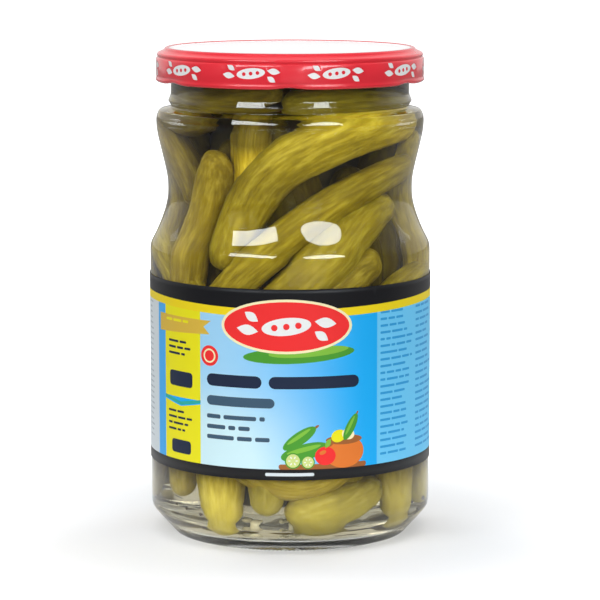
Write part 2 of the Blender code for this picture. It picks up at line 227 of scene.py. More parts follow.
# Painted light and shade on some of them: how light each is at the first end and at the other,
# where 1 is the middle of the range, and the shares of the length between which the one turns
# into the other, where that isn't all of it. Lighter stretches stand for light falling on them,
# darker ones for shade, such as under the cap at the neck.
PICKLE_SHADES = {
    "shoulder_arch": (1.8, 0.95, 0.0, 0.8),
    "second_arch": (0.86, 1.02),
    "third_arch": (0.92, 1.02),
    "right_low": (0.80, 0.92),
    "left_upright": (1.05, 0.92),
    "left_bright": (0.26, 2.2, 0.20, 0.48),
    "left_shoulder": (0.90, 0.80),
    "left_stub": (0.70, 0.55),
    "left_behind": (0.75, 0.80),
    "left_foot": (0.95, 1.05),
    "neck_left": (0.55, 0.50),
    "neck_right": (0.60, 0.55),
    "low_cross": (1.20, 1.20),
    "low_left": (1.55, 1.2),
    "low_middle": (0.95, 0.80),
}
# Painted shade: the inner layers of pickles are made darker, standing for the little light that reaches them
# between the others
INNER_SHADE = 0.30
INNER_BACK_SHADE = 0.55
PICKLE_DARK = (0.125, 0.083, 0.003)
PICKLE_SKIN = (0.205, 0.146, 0.005)
PICKLE_LIGHT = (0.335, 0.255, 0.020)
PICKLE_MOTTLE = (0.62, 0.60, 0.50)
# Painted shade: the heap's middle is coloured near black, standing for the shade between the pickles
CORE_DARK = (0.02, 0.018, 0.012)
CORE_LIGHT = (0.07, 0.055, 0.015)
# Painted light near the bottom: below this height the pickles turn paler and bluer, standing for light that
# comes in through the thick glass base, and their streaks show less
LOW_PALE_Z = 26.0
LOW_PALE_TINT = (1.65, 1.80, 6.0)
LOW_CALM = 0.75
BACK_FROM = 108
BACK_TO = 252
BACK_HIGH_COUNT = 7
BACK_LOW_COUNT = 9
BACK_THICKNESS = (11.6, 14.0)
SIDE_LOW_AZIMUTHS = (84, -100)
INNER_COUNT = 15
INNER_BACK_COUNT = 6
PICKLE_SIDES = 40
PICKLE_STEPS = 72
PICKLE_CAP_RINGS = 9
INNER_SIDES = 20
INNER_STEPS = 30


# Shared geometry


def arc(centre_r, centre_z, radius, start, end, steps):
    """Points (r, z) on an arc, from one angle to another above the outward direction."""
    points = []
    for i in range(steps + 1):
        angle = math.radians(start + (end - start) * i / steps)
        points.append((centre_r + radius * math.cos(angle), centre_z + radius * math.sin(angle)))
    return points


def ease(share):
    """0 to 1 along half a cosine wave."""
    return (1 - math.cos(math.pi * share)) / 2


def rounded_corner(before, corner, after, radius, steps):
    """The arc that rounds a corner between two straight stretches of a profile."""
    corner = Vector(corner)
    back = (Vector(before) - corner).normalized()
    ahead = (Vector(after) - corner).normalized()
    half = back.angle(ahead) / 2
    centre = corner + (back + ahead).normalized() * radius / math.sin(half)
    first = corner + back * radius / math.tan(half) - centre
    last = corner + ahead * radius / math.tan(half) - centre
    turn = first.angle_signed(last)
    points = []
    for i in range(steps + 1):
        spoke = Matrix.Rotation(-turn * i / steps, 2) @ first
        points.append(tuple(centre + spoke))
    return points


def on_axis(azimuth, distance, z):
    """The point in metres at an azimuth in degrees, a distance from the axis and a height."""
    angle = math.radians(azimuth)
    return Vector((distance * math.sin(angle), -distance * math.cos(angle), z)) * MM


def link_mesh(name, verts, faces, materials, smooth_under=40.0):
    mesh = bpy.data.meshes.new(name)
    mesh.from_pydata(verts, [], faces)
    mesh.validate()
    mesh.shade_smooth()
    mesh.set_sharp_from_angle(angle=math.radians(smooth_under))
    for material in materials:
        mesh.materials.append(material)
    obj = bpy.data.objects.new(name, mesh)
    bpy.context.scene.collection.objects.link(obj)
    return obj


def turned_mesh(profile, sides, shape=None):
    """Verts and faces of a section turned about Z. Points on the axis become one vert each."""
    verts = []
    rows = []
    for radius, z in profile:
        if radius < 1e-6:
            rows.append([len(verts)] * sides)
            verts.append(on_axis(0, 0, z))
            continue
        row = []
        for k in range(sides):
            azimuth = 360 * k / sides
            here = shape(azimuth, radius, z) if shape else (radius, z)
            row.append(len(verts))
            verts.append(on_axis(azimuth, *here))
        rows.append(row)
    faces = []
    for low, high in zip(rows, rows[1:]):
        for k in range(sides):
            following = (k + 1) % sides
            corners = [low[k], low[following], high[following], high[k]]
            faces.append([corner for i, corner in enumerate(corners) if corner != corners[i - 1]])
    return verts, faces


# Materials


def new_material(name):
    """A material with its node tree and its shader."""
    material = bpy.data.materials.new(name)
    material.use_nodes = True
    return material, material.node_tree, material.node_tree.nodes["Principled BSDF"]


def feed(tree, node, **inputs):
    """Sets a node's inputs to values or to other nodes' outputs. An input called _1 is the second one."""
    for key, value in inputs.items():
        socket = node.inputs[int(key[1:]) if key[0] == "_" else key.replace("_", " ")]
        if isinstance(value, bpy.types.NodeSocket):
            tree.links.new(value, socket)
        else:
            socket.default_value = value


def add_node(tree, kind, operation=None, **inputs):
    node = tree.nodes.new("ShaderNode" + kind)
    if operation:
        node.operation = operation
    feed(tree, node, **inputs)
    return node


def mesh_value(tree, name):
    """The outputs that read a value stored in the mesh."""
    node = tree.nodes.new("ShaderNodeAttribute")
    node.attribute_name = name
    return node.outputs


def noise_at(tree, vector, scale, detail, roughness=0.5):
    node = add_node(tree, "TexNoise", Vector=vector, Scale=scale, Detail=detail, Roughness=roughness)
    return node.outputs["Fac"]


def map_range(tree, value, source, target, smooth=False):
    """A value carried from one range to another, whose ends may be outputs too."""
    node = tree.nodes.new("ShaderNodeMapRange")
    if smooth:
        node.interpolation_type = "SMOOTHSTEP"
    feed(tree, node, Value=value, From_Min=source[0], From_Max=source[1], To_Min=target[0], To_Max=target[1])
    return node.outputs["Result"]


def mix_colours(tree, blend, factor, first, second):
    node = tree.nodes.new("ShaderNodeMix")
    node.data_type = "RGBA"
    node.blend_type = blend
    feed(tree, node, Factor=factor, A=first, B=second)
    return node.outputs["Result"]


def ramp_between(tree, factor, stops):
    """A colour ramp with the given (position, colour) stops, fed by a factor."""
    ramp = add_node(tree, "ValToRGB", Fac=factor)
    elements = ramp.color_ramp.elements
    while len(elements) < len(stops):
        elements.new(0.5)
    for element, (position, colour) in zip(elements, stops):
        element.position = position
        element.color = (*colour, 1)
    return ramp.outputs["Color"]


def clear_material(name, colour, ior, mirror):
    """Glass or brine. A face where the two meet without air mirrors next to nothing.

    Shadow rays go straight through, so that lamps light what the glass holds.
    """
    material, tree, shader = new_material(name)
    feed(tree, shader, Base_Color=(*colour, 1), Roughness=0.0, IOR=ior, Transmission_Weight=1.0)
    feed(tree, shader, Specular_Tint=(mirror, mirror, mirror, 1))
    shadow = add_node(tree, "LightPath").outputs["Is Shadow Ray"]
    clear = add_node(tree, "BsdfTransparent").outputs[0]
    mix = add_node(tree, "MixShader", Fac=shadow, _1=shader.outputs[0], _2=clear)
    feed(tree, tree.nodes["Material Output"], Surface=mix.outputs[0])
    return material


def brine_material():
    material = clear_material("pale_brine", (1, 1, 1), BRINE_IOR, 0.0)
    tree = material.node_tree
    tinge = add_node(tree, "VolumeAbsorption", Color=(*BRINE_TINGE, 1), Density=BRINE_DENSITY)
    feed(tree, tree.nodes["Material Output"], Volume=tinge.outputs[0])
    return material


def pickle_material():
    """Cucumber skin: long streaks, mottling, and each pickle's tone with its painted light and shade, read
    from the mesh. Brine takes its gloss.
    """
    material, tree, shader = new_material("pickled_cucumber_skin")
    tint = mesh_value(tree, "tint")
    place = add_node(tree, "TexCoord").outputs["Object"]
    streaks = noise_at(tree, mesh_value(tree, "skin")["Vector"], 2.2, 6.0, 0.68)
    mottle = noise_at(tree, place, 140.0, 3.0, 0.55)
    streaked = ramp_between(tree, streaks, ((0.30, PICKLE_DARK), (0.48, PICKLE_SKIN), (0.68, PICKLE_LIGHT)))
    calmed = mix_colours(tree, "MIX", tint["Alpha"], (*PICKLE_SKIN, 1), streaked)
    mottling = ramp_between(tree, mottle, ((0.30, PICKLE_MOTTLE), (0.64, (1.0, 1.0, 1.0))))
    mottled = mix_colours(tree, "MULTIPLY", 0.55, calmed, mottling)
    tinted = mix_colours(tree, "MULTIPLY", 1.0, mottled, tint["Color"])
    bump = add_node(tree, "Bump", Strength=0.4, Distance=0.0006, Height=streaks)
    feed(tree, shader, Base_Color=tinted, Normal=bump.outputs["Normal"])
    feed(tree, shader, Roughness=0.5, Specular_IOR_Level=0.05)
    return material


# Painted shade: a cloudy near-black colour for the heap's middle
def core_material():
    material, tree, shader = new_material("deep_in_the_heap")
    cloud = noise_at(tree, add_node(tree, "TexCoord").outputs["Object"], 60.0, 2.0)
    colour = ramp_between(tree, cloud, ((0.35, CORE_DARK), (0.7, CORE_LIGHT)))
    feed(tree, shader, Base_Color=colour, Roughness=0.6)
    return material


def printed_material(name, roughness, coat, grain_scale):
    """Ink read from the mesh, under a varnish with a faint grain."""
    material, tree, shader = new_material(name)
    grain = noise_at(tree, add_node(tree, "TexCoord").outputs["Object"], grain_scale, 4.0)
    bump = add_node(tree, "Bump", Strength=0.3, Distance=GRAIN_DEPTH, Height=grain)
    spread = map_range(tree, grain, (0, 1), (roughness * 0.85, roughness * 1.15))
    feed(tree, shader, Base_Color=mesh_value(tree, "ink")["Color"], Roughness=spread)
    feed(tree, shader, Normal=bump.outputs["Normal"])
    feed(tree, shader, Coat_Weight=coat, Coat_Roughness=0.15, Specular_IOR_Level=0.3)
    return material


def speck_material():
    material, tree, shader = new_material("spice_specks")
    feed(tree, shader, Base_Color=mesh_value(tree, "ink")["Color"], Roughness=0.5)
    return material


# The jar and its brine


def lean_at(z):
    """The side's lean at a height, in degrees, eased between the heights of the table."""
    for (low_z, low), (high_z, high) in zip(SIDE_LEANS, SIDE_LEANS[1:]):
        if low_z <= z <= high_z:
            return low + (high - low) * (z - low_z) / (high_z - low_z)
    return 0.0


def side_radii():
    """The side's radius at every half millimetre, found by adding up its lean."""
    step = 0.5
    z = SIDE_LEANS[0][0]
    radius = BODY_R
    table = [(z, radius)]
    while z < SIDE_LEANS[-1][0] - 1e-6:
        radius -= step * math.tan(math.radians(lean_at(z + step / 2)))
        z += step
        table.append((z, radius))
    return table


SIDE_RADII = side_radii()


def side_radius(z):
    """The jar's outer radius anywhere from the label panel to the shoulder's edge."""
    if z <= SIDE_RADII[0][0]:
        return BODY_R
    for (low_z, low), (high_z, high) in zip(SIDE_RADII, SIDE_RADII[1:]):
        if z <= high_z:
            return low + (high - low) * (z - low_z) / (high_z - low_z)
    return SIDE_RADII[-1][1]


def shoulder_points(steps):
    """The shoulder's section: rounded below and above a short flat flank that leans inwards."""
    lean = SHOULDER_FLANK_LEAN
    points = arc(SHOULDER_R - SHOULDER_ROUND, SHOULDER_Z, SHOULDER_ROUND, 0, lean, steps)
    flank_r, flank_z = points[-1]
    cosine, sine = math.cos(math.radians(lean)), math.sin(math.radians(lean))
    top_r = flank_r - SHOULDER_FLANK * sine - SHOULDER_TOP_ROUND * cosine
    top_z = flank_z + SHOULDER_FLANK * cosine - SHOULDER_TOP_ROUND * sine
    return points + arc(top_r, top_z, SHOULDER_TOP_ROUND, lean, 60, steps)


def outer_points():
    """The jar's outside from its bearing ring to its rim, bottom to top."""
    heel = (BODY_R, HEEL_TOP_Z)
    ring_edge = (RING_R + RING_ROUND, 0.5 * RING_ROUND)
    points = arc(RING_R, RING_ROUND, RING_ROUND, -90, -45, 4)
    points += rounded_corner(ring_edge, heel, (BODY_R, 60.0), HEEL_ROUND, 8)
    points += [(BODY_R, 22.0), (BODY_R, 60.0)]
    points += [(radius, z) for z, radius in SIDE_RADII[:-1]]
    points += shoulder_points(5)
    points += rounded_corner((NECK_R + 3.2, NECK_Z - 2.2), (NECK_R, NECK_Z), (NECK_R, BEAD_Z), 0.7, 5)
    points += arc(BEAD_R - BEAD_ROUND, BEAD_Z, BEAD_ROUND, -50, SHOULDER_FLANK_LEAN, 8)
    flank_start, flank_end = Vector(points[-1]), Vector((NECK_R + 0.1, BEAD_TOP_Z - 0.32))
    points += [tuple(flank_start.lerp(flank_end, share)) for share in (0.1, 0.9, 1.0)]
    points.append((NECK_R, BEAD_TOP_Z + 0.2))
    points += [(NECK_R, FINISH_Z - 0.8), (FINISH_R, FINISH_Z)]
    points.append((FINISH_R, RIM_Z - RIM_ROUND))
    points += arc(FINISH_R - RIM_ROUND, RIM_Z - RIM_ROUND, RIM_ROUND, 15, 90, 5)
    return points


def inner_radius(z):
    """The jar's inner radius at a height above its floor."""
    inner_body = BODY_R - WALL
    heel_z = FLOOR_Z + INNER_HEEL_R
    if z < heel_z:
        drop = min(heel_z - z, INNER_HEEL_R)
        return inner_body - INNER_HEEL_R + math.sqrt(INNER_HEEL_R**2 - drop**2)
    widest_z = SHOULDER_Z - 2.0
    if z < widest_z:
        return side_radius(z) - WALL
    widest = side_radius(widest_z) - WALL
    if z < NECK_Z:
        return widest + (MOUTH_R - widest) * ease((z - widest_z) / (NECK_Z - widest_z))
    return MOUTH_R


def inner_points(outward=0.0):
    """The jar's inside from below its mouth to its floor, grown outwards by a little for the brine."""
    heights = [NECK_Z + 1.5 * i for i in range(6, -1, -1)]
    heights += [SHOULDER_Z - 2.0 + (NECK_Z - SHOULDER_Z + 2.0) * i / 8 for i in range(7, -1, -1)]
    heights += [z for z, _ in SIDE_RADII[-6::-2]]
    heights += [60.0, 35.0]
    heel_centre_r = BODY_R - WALL - INNER_HEEL_R
    points = [(inner_radius(z) + outward, z) for z in heights]
    points += arc(heel_centre_r, FLOOR_Z + INNER_HEEL_R, INNER_HEEL_R + outward, 0, -90, 14)
    for share in (0.75, 0.5, 0.25, 0.0):
        radius = heel_centre_r * share
        points.append((radius, FLOOR_Z - outward + FLOOR_DOME * ease(1 - share)))
    return points


def wavy_inside(azimuth, radius, z):
    """Blown glass is a little uneven inside."""
    angle = math.radians(azimuth)
    wave = noise.noise(Vector((math.sin(angle) * 1.6, math.cos(angle) * 1.6, z * 0.035)))
    return radius + WALL_WAVE * wave, z


def make_jar(materials):
    ring_inner_r = RING_R - RING_FLAT
    under = [(0.0, UNDER_DOME_Z), (ring_inner_r - 9.0, UNDER_DOME_Z - 0.2)]
    under += [(ring_inner_r - 2.4, UNDER_DOME_Z - 0.8), (ring_inner_r - 1.0, 0.5), (ring_inner_r, 0.0)]
    outside = outer_points()
    mouth = [(MOUTH_R + 1.2, RIM_Z - 0.3), (MOUTH_R + 0.4, RIM_Z - 1.0), (MOUTH_R, RIM_Z - 2.4)]
    inside = inner_points()

    def shape(azimuth, radius, z):
        on_ring = z < 0.75 and radius > RING_R - 0.1
        if on_ring and round(azimuth * JAR_SIDES / 360) % 2:
            return radius, z + KNURL_DEPTH
        return radius, z

    verts, faces = turned_mesh(under + outside, JAR_SIDES, shape)
    inner_verts, inner_faces = turned_mesh(mouth + inside, JAR_SIDES, wavy_inside)
    joint_low = len(verts) - JAR_SIDES
    joint_high = len(verts)
    faces += [[corner + len(verts) for corner in face] for face in inner_faces]
    for k in range(JAR_SIDES):
        following = (k + 1) % JAR_SIDES
        faces.append([joint_low + k, joint_low + following, joint_high + following, joint_high + k])
    jar = link_mesh("glass_body", verts + inner_verts, faces, materials, 60)
    for polygon in jar.data.polygons:
        polygon.material_index = int(min(polygon.vertices) >= joint_high)
    return jar


def make_brine(material):
    side = inner_points(BRINE_OVERLAP)
    top_r = MOUTH_R + BRINE_OVERLAP
    top = [(0.0, BRINE_LEVEL_Z - 0.5), (top_r - 4, BRINE_LEVEL_Z - 0.5), (top_r - 1, BRINE_LEVEL_Z - 0.2)]
    top.append((top_r, BRINE_LEVEL_Z))
    verts, faces = turned_mesh((top + side)[::-1], BRINE_SIDES, wavy_inside)
    return link_mesh("brine", verts, faces, [material], 60)


# Pickles


def resting_radius(z, radius):
    """How far from the axis the centre of a pickle may lie at a height, touching the jar's inside."""
    limits = []
    steps = 8
    for i in range(-steps, steps + 1):
        rise = radius * i / steps
        chord = math.sqrt(max(radius**2 - rise**2, 0.0))
        limits.append(inner_radius(max(z + rise, FLOOR_Z)) - chord)
    return min(limits) - PICKLE_CLEARANCE


def centre_line(pickle, steps):
    """Points down the middle of a pickle, on the curve through its two ends and its middle."""
    _, thickness, inset, start, middle, end = pickle
    points = []
    for i in range(steps + 1):
        t = i / steps
        weights = (2 * (t - 0.5) * (t - 1), 4 * t * (1 - t), 2 * t * (t - 0.5))
        azimuth, z = (
            sum(weight * place[axis] for weight, place in zip(weights, (start, middle, end)))
            for axis in (0, 1)
        )
        from_middle = abs(2 * i / steps - 1)
        half = thickness / 2 * (1 - END_THINNING * from_middle**3)
        distance = resting_radius(z, half) - inset
        angle = math.radians(azimuth)
        points.append(Vector((distance * math.sin(angle), -distance * math.cos(angle), z)))
    return points


def back_pickles():
    """Pickles for the part of the circle that the front hides: leaning ones above, upright ones below."""
    draw = random.Random(SEED)
    rows = []
    span = BACK_TO - BACK_FROM
    for i in range(BACK_HIGH_COUNT):
        azimuth = BACK_FROM + span * (i + 0.5) / BACK_HIGH_COUNT + draw.uniform(-3, 3)
        lean = draw.uniform(12, 34) * (1 if i % 3 else -1)
        thickness = draw.uniform(*BACK_THICKNESS)
        top = draw.uniform(118, 130)
        inset = draw.uniform(0.0, 1.2)
        middle = (azimuth + draw.uniform(-6, 6), top - 25)
        start, end = (azimuth + lean, top), (azimuth - lean, top - 56)
        rows.append((f"back_high_{i}", thickness, inset, start, middle, end))
    for i in range(3):
        azimuth = BACK_FROM + span * (i + 0.5) / 3
        height = draw.uniform(134.5, 138.0)
        start, end = (azimuth - 26, height), (azimuth + 24, height - 1)
        rows.append((f"back_neck_{i}", 11.4, 0.0, start, (azimuth, height + 2), end))
    for i in range(BACK_LOW_COUNT):
        azimuth = BACK_FROM + span * (i + 0.5) / BACK_LOW_COUNT
        lean = draw.uniform(-8, 8)
        thickness = draw.uniform(*BACK_THICKNESS)
        inset = draw.uniform(0.0, 0.8)
        start = (azimuth, draw.uniform(12.5, 19.0))
        middle, end = (azimuth + lean, 38), (azimuth + 2 * lean, 62)
        rows.append((f"back_low_{i}", thickness, inset, start, middle, end))
    for azimuth in SIDE_LOW_AZIMUTHS:
        middle, end = (azimuth + 2, 38), (azimuth - 3, 64)
        rows.append((f"side_low_{azimuth}", 12.8, 0.3, (azimuth, 13.5), middle, end))
    return rows


def inner_pickles():
    """A second layer behind the first, which shows only in its gaps."""
    draw = random.Random(SEED + 2)
    rows = []
    for i in range(INNER_COUNT):
        azimuth = 360 * i / INNER_COUNT + draw.uniform(-5, 5)
        lean = draw.uniform(-30, 30)
        low = draw.uniform(16, 70) if i % 2 else draw.uniform(40, 60)
        high = draw.uniform(112, 130)
        thickness, inset = draw.uniform(11.5, 13.5), draw.uniform(10.0, 12.0)
        start, middle, end = (azimuth + lean, high), (azimuth, (low + high) / 2), (azimuth - lean, low)
        rows.append((f"inner_{i}", thickness, inset, start, middle, end))
    for i in range(INNER_BACK_COUNT):
        azimuth = BACK_FROM + (BACK_TO - BACK_FROM) * (i + 0.5) / INNER_BACK_COUNT
        lean = draw.uniform(14, 30) * (1 if i % 2 else -1)
        top = draw.uniform(124, 131)
        thickness, inset = draw.uniform(11.5, 13.5), draw.uniform(8.0, 10.0)
        start, middle, end = (azimuth + lean, top), (azimuth, top - 14), (azimuth - lean, top - 32)
        rows.append((f"inner_back_{i}", thickness, inset, start, middle, end))
    return rows


def skin_height(theta, along, half, phase):
    """How far the skin stands out: blunt ribs, long wrinkles, and scattered bumps."""
    cosine, sine = math.cos(theta), math.sin(theta)
    ribs = 0.035 * math.cos(3 * theta + phase) + 0.02 * math.cos(5 * theta - 2 * phase)
    wrinkle_at = Vector((cosine * 2.4 + phase, sine * 2.4, along * 0.045))
    wrinkles = 0.055 * noise.fractal(wrinkle_at, 0.9, 2.1, 3)
    fine_at = Vector((cosine * 6.5, sine * 6.5 - phase, along * 0.10))
    fine = 0.022 * noise.noise(fine_at)
    bump_at = Vector((cosine * half * 0.42, sine * half * 0.42, along * 0.36 + phase * 5))
    nearest = noise.voronoi(bump_at)[0][0]
    bumps = 0.05 * max(0.0, 1 - nearest / 0.42) ** 2
    return half * (ribs + wrinkles + fine + bumps)


def pickle_tints(name, points, draw):
    """One tone for each point, with its painted light and shade, whose fourth value says how much the streaks
    show.

    A pickle is light or dull at random. Along its length it shifts at random, except that the listed pickles
    get painted light and shade there and the inner ones painted shade. Near the bottom it is paler, painted
    light standing for light through the glass base, and even.
    """
    light = draw.uniform(0.85, 1.1)
    plain = (light * draw.uniform(0.9, 1.1), light * draw.uniform(0.9, 1.1))
    # Painted light and shade for the listed pickles, a random tone for the rest
    first, last, *stretch = PICKLE_SHADES.get(name, plain)
    start, stop = stretch or (0.0, 1.0)
    # The inner layers get painted shade all along their length
    if name.startswith("inner_back"):
        first, last = INNER_BACK_SHADE, INNER_BACK_SHADE
    elif name.startswith("inner"):
        first, last = INNER_SHADE, INNER_SHADE
    green = draw.uniform(0.96, 1.03)
    blue = draw.uniform(0.7, 1.2)
    tints = []
    for index, point in enumerate(points):
        share = (index / (len(points) - 1) - start) / (stop - start)
        shade = first + (last - first) * ease(min(max(share, 0.0), 1.0))
        # Painted light: paler towards the bottom, standing for light through the glass base
        sunk = ease(min(max((LOW_PALE_Z - point.z) / 14.0, 0.0), 1.0))
        pale = [1 + (most - 1) * sunk for most in LOW_PALE_TINT]
        tints.append((shade * pale[0], shade * green * pale[1], shade * blue * pale[2], 1 - LOW_CALM * sunk))
    return tints


def pickle_surface(pickle, sides, steps, cap_rings, draw):
    """(points, faces, skin coordinates) of one pickle, with all lengths in millimetres."""
    points = centre_line(pickle, steps)
    half = pickle[1] / 2
    end_half = half * (1 - END_THINNING)
    sections = []
    before = (points[0] - points[1]).normalized()
    after = (points[-1] - points[-2]).normalized()
    for k in range(cap_rings):
        angle = math.radians(88 * (1 - k / cap_rings))
        sections.append((points[0] + before * end_half * math.sin(angle), end_half * math.cos(angle)))
    for i, point in enumerate(points):
        from_middle = abs(2 * i / steps - 1)
        sections.append((point, half * (1 - END_THINNING * from_middle**3)))
    for k in range(1, cap_rings + 1):
        angle = math.radians(88 * k / cap_rings)
        sections.append((points[-1] + after * end_half * math.sin(angle), end_half * math.cos(angle)))
    phase = draw.uniform(0, math.tau)
    offset = draw.uniform(0, 50)
    made, faces, skin = [], [], []
    side = None
    along = 0.0
    for i, (centre, radius) in enumerate(sections):
        ahead = sections[min(i + 1, len(sections) - 1)][0]
        behind = sections[max(i - 1, 0)][0]
        tangent = (ahead - behind).normalized()
        along += (centre - behind).length
        if side is None:
            side = tangent.orthogonal()
        side = (side - tangent * side.dot(tangent)).normalized()
        other = tangent.cross(side)
        for k in range(sides):
            theta = math.tau * k / sides
            relief = skin_height(theta, along, half, phase) * min(radius / half * 1.3, 1.0)
            outward = side * math.cos(theta) + other * math.sin(theta)
            made.append(centre + outward * (radius + relief - 0.035 * half))
            spread = 1.9 * radius / half
            skin.append((math.cos(theta) * spread + offset, math.sin(theta) * spread, along * 0.048 + offset))
    rings = len(sections)
    for i in range(rings - 1):
        for k in range(sides):
            following = (k + 1) % sides
            faces.append(
                [i * sides + k, (i + 1) * sides + k, (i + 1) * sides + following, i * sides + following]
            )
    faces.append(list(range(sides)))
    faces.append([(rings - 1) * sides + k for k in range(sides)][::-1])
    return made, faces, skin


def make_pickles(name, pickles, material, sides, steps, cap_rings, seed):
    """Several pickles in one mesh, each with its own tone, painted light and shade, and its own skin
    coordinates.
    """
    draw = random.Random(seed)
    verts, faces, skins, tints = [], [], [], []
    for pickle in pickles:
        points, own_faces, skin = pickle_surface(pickle, sides, steps, cap_rings, draw)
        start = len(verts)
        verts += [point * MM for point in points]
        faces += [[corner + start for corner in face] for face in own_faces]
        skins += skin
        tints += pickle_tints(pickle[0], points, draw)
    obj = link_mesh(name, verts, faces, [material], 180)
    skin_layer = obj.data.attributes.new("skin", "FLOAT_VECTOR", "POINT")
    skin_layer.data.foreach_set("vector", [value for point in skins for value in point])
    tint_layer = obj.data.attributes.new("tint", "FLOAT_COLOR", "POINT")
    tint_layer.data.foreach_set("color", [value for tint in tints for value in tint])
    return obj


def make_core(material):
    """The middle of the heap, painted near black as shade, seen only as darkness between the pickles."""
    draw = random.Random(SEED + 1)
    profile = [(0.0, CORE_LOW_Z)]
    levels = 20
    for i in range(levels + 1):
        z = CORE_LOW_Z + (CORE_HIGH_Z - CORE_LOW_Z) * i / levels
        profile.append((inner_radius(max(z, 14.0)) - CORE_DEPTH, z))
    profile.append((0.0, CORE_HIGH_Z))

    def shape(azimuth, radius, z):
        angle = math.radians(azimuth)
        lump = noise.noise(Vector((math.sin(angle) * 2, math.cos(angle) * 2, z * 0.08)))
        return radius + 2.2 * lump + draw.uniform(-0.1, 0.1), z

    verts, faces = turned_mesh(profile, 48, shape)
    return link_mesh("heap_core", verts, faces, [material], 60)


# Print: flat shapes that cut a sheet into fields of colour


def box_shape(left, low, right, high, rounding=0.0):
    if rounding <= 0:
        return [(left, low), (right, low), (right, high), (left, high)]
    rounding = min(rounding, (right - left) / 2 - 0.01, (high - low) / 2 - 0.01)
    corners = ((right, low, -90), (right, high, 0), (left, high, 90), (left, low, 180))
    points = []
    for u, v, start in corners:
        centre_u = u - rounding if u == right else u + rounding
        centre_v = v - rounding if v == high else v + rounding
        points += arc(centre_u, centre_v, rounding, start, start + 90, 4)
    return points


def oval_shape(u, v, half_u, half_v, turn=0.0, count=28):
    cosine, sine = math.cos(math.radians(turn)), math.sin(math.radians(turn))
    points = []
    for i in range(count):
        angle = math.tau * i / count
        a, b = half_u * math.cos(angle), half_v * math.sin(angle)
        points.append((u + a * cosine - b * sine, v + a * sine + b * cosine))
    return points


def word_rows(ink, left, right, low, high, pitch, height, draw, longest=9.0):
    """Lines of short bars that stand where small print would be."""
    shapes = []
    v = high
    while v - height > low:
        u = left
        last = right - draw.uniform(0, 0.35) * (right - left)
        while u < last - 1.2:
            length = min(draw.uniform(1.6, longest), last - u)
            shapes.append((ink, box_shape(u, v - height, u + length, v, height * 0.35)))
            u += length + height * 0.8
        v -= pitch
    return shapes


def cut_sheet(left, right, low, high, shapes, columns, rows):
    """Triangulates a rectangle along a grid and along each shape's outline.

    Returns the points, the faces and, for each face, the index of the last shape that covers it, or -1.
    """
    coords = []
    edges = []
    faces = [[0, 1, 2, 3]]
    coords += box_shape(left, low, right, high)
    for i in range(1, columns):
        u = left + (right - left) * i / columns
        edges.append((len(coords), len(coords) + 1))
        coords += [(u, low), (u, high)]
    for i in range(1, rows):
        v = low + (high - low) * i / rows
        edges.append((len(coords), len(coords) + 1))
        coords += [(left, v), (right, v)]
    for _, outline in shapes:
        faces.append(list(range(len(coords), len(coords) + len(outline))))
        coords += [(min(max(u, left), right), min(max(v, low), high)) for u, v in outline]
    points, _, made, _, _, sources = delaunay_2d_cdt([Vector(c) for c in coords], edges, faces, 1, 1e-5)
    covering = [max(source) - 1 if source else -1 for source in sources]
    return points, made, covering


def set_ink(mesh, corner_colours):
    """Writes one colour for each face corner."""
    layer = mesh.attributes.new("ink", "FLOAT_COLOR", "CORNER")
    layer.data.foreach_set("color", [value for colour in corner_colours for value in (*colour, 1.0)])


# The cap

CAP_RED = (0.80, 0.028, 0.045)
CAP_WHITE = (0.92, 0.92, 0.93)
CAP_RIM = (0.62, 0.02, 0.035)


def cap_motifs():
    """A small generic ornament that repeats round the skirt."""
    shapes = []
    round_length = math.tau * SKIRT_R
    middle_v = (PRINT_LOW_Z + SKIRT_TOP_Z) / 2 + 0.1
    for i in range(CAP_MOTIFS):
        u = round_length * ((i + CAP_MOTIF_TURN) / CAP_MOTIFS - 0.5)
        shapes += pod_emblem(u, middle_v, 4.5, CAP_WHITE, CAP_RED)
    return shapes


def lug_lift(azimuth, radius, z):
    """The rolled lower edge is nipped up into lugs all round."""
    if z > CURL_Z + 1.6:
        return radius, z
    spacing = 360 / CAP_LUGS
    off_lug = (azimuth + spacing / 2) % spacing - spacing / 2
    share = math.exp(-((off_lug / LUG_HALF_WIDTH) ** 2))
    return radius - 0.25 * share, z + LUG_LIFT * share


